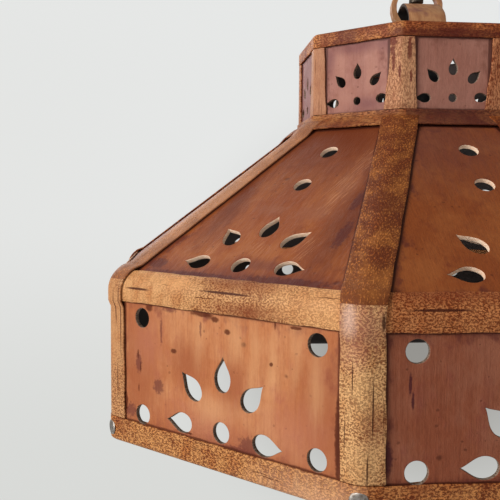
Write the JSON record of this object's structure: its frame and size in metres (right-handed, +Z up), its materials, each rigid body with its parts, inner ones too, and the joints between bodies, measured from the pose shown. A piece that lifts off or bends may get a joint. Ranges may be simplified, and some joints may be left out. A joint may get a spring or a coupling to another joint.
{
  "type": "pendant lamp",
  "caption": "Octagonal pendant lamp of pierced birch bark: upright skirt, sloping cone and collar, bound with bark strips, hung on a cord from a ceiling cup.",
  "frame": {"origin": "centre of the ceiling hook's plate, on the ceiling", "axes": "+Z up along the cord; -Y square to the skirt panel that the camera sees nearly face on; +X to that panel's right"},
  "size_m": [0.3846, 0.3846, 0.359],
  "materials": {
    "skirt_bark": "satin birch bark, warm tan with brown pores",
    "cone_bark": "glossy birch bark, reddish brown",
    "collar_bark": "satin birch bark, pinkish brown",
    "rib_bark": "satin birch bark, brown to gold",
    "strip_bark": "satin birch bark, golden tan with short brown dashes",
    "binding_bark": "satin birch bark, orange gold with dark patches",
    "nickel": "bright nickel plate",
    "brass": "bright",
    "holder_plastic": "black, moulded",
    "porcelain": "glazed white ceramic",
    "cord_cover": "black sheath",
    "nylon": "natural nylon",
    "cup_plastic": "dark brown, moulded"
  },
  "bodies": {
    "hanging": {"ceiling_hook": "nickel", "cord_hanger": "nylon", "cord": "cord_cover", "cord_lock": "brass", "lock_screw": "brass", "holder_cap": "holder_plastic", "holder_shell": "holder_plastic", "holder_insert": "porcelain", "screw_sleeve": "brass", "centre_contact": "brass", "cord_grip": "nylon"},
    "cup": {"ceiling_cup": "cup_plastic", "cup_screw": "brass"},
    "shade": {"skirt_panel_1": "skirt_bark", "skirt_panel_2": "skirt_bark", "skirt_panel_3": "skirt_bark", "skirt_panel_4": "skirt_bark", "skirt_panel_5": "skirt_bark", "skirt_panel_6": "skirt_bark", "skirt_panel_7": "skirt_bark", "skirt_panel_8": "skirt_bark", "cone_panel_1": "cone_bark", "cone_panel_2": "cone_bark", "cone_panel_3": "cone_bark", "cone_panel_4": "cone_bark", "cone_panel_5": "cone_bark", "cone_panel_6": "cone_bark", "cone_panel_7": "cone_bark", "cone_panel_8": "cone_bark", "collar_band": "collar_bark", "corner_rib_1": "rib_bark", "corner_rib_2": "rib_bark", "corner_rib_3": "rib_bark", "corner_rib_4": "rib_bark", "corner_rib_5": "rib_bark", "corner_rib_6": "rib_bark", "corner_rib_7": "rib_bark", "corner_rib_8": "rib_bark", "bow_handle": "rib_bark", "hanging_loop": "rib_bark", "eave_strip": "strip_bark", "cone_top_strip": "strip_bark", "collar_corner_strip_1": "strip_bark", "collar_corner_strip_2": "strip_bark", "collar_corner_strip_3": "strip_bark", "collar_corner_strip_4": "strip_bark", "collar_corner_strip_5": "strip_bark", "collar_corner_strip_6": "strip_bark", "collar_corner_strip_7": "strip_bark", "collar_corner_strip_8": "strip_bark", "bottom_binding": "binding_bark", "rim_binding": "binding_bark", "corner_rivet_1": "nickel", "corner_rivet_2": "nickel", "corner_rivet_3": "nickel", "corner_rivet_4": "nickel", "corner_rivet_5": "nickel", "corner_rivet_6": "nickel", "corner_rivet_7": "nickel", "corner_rivet_8": "nickel"}
  },
  "joints": [
    {"name": "shade_turn", "type": "hinge", "parent": "hanging", "child": "shade", "pos_m": [0, 0, -0.12771], "axis": [0, 0, 1], "continuous": true},
    {"name": "cup_slide", "type": "slide", "parent": "hanging", "child": "cup", "axis": [0, 0, -1], "range_m": [0, 0.026]}
  ]
}
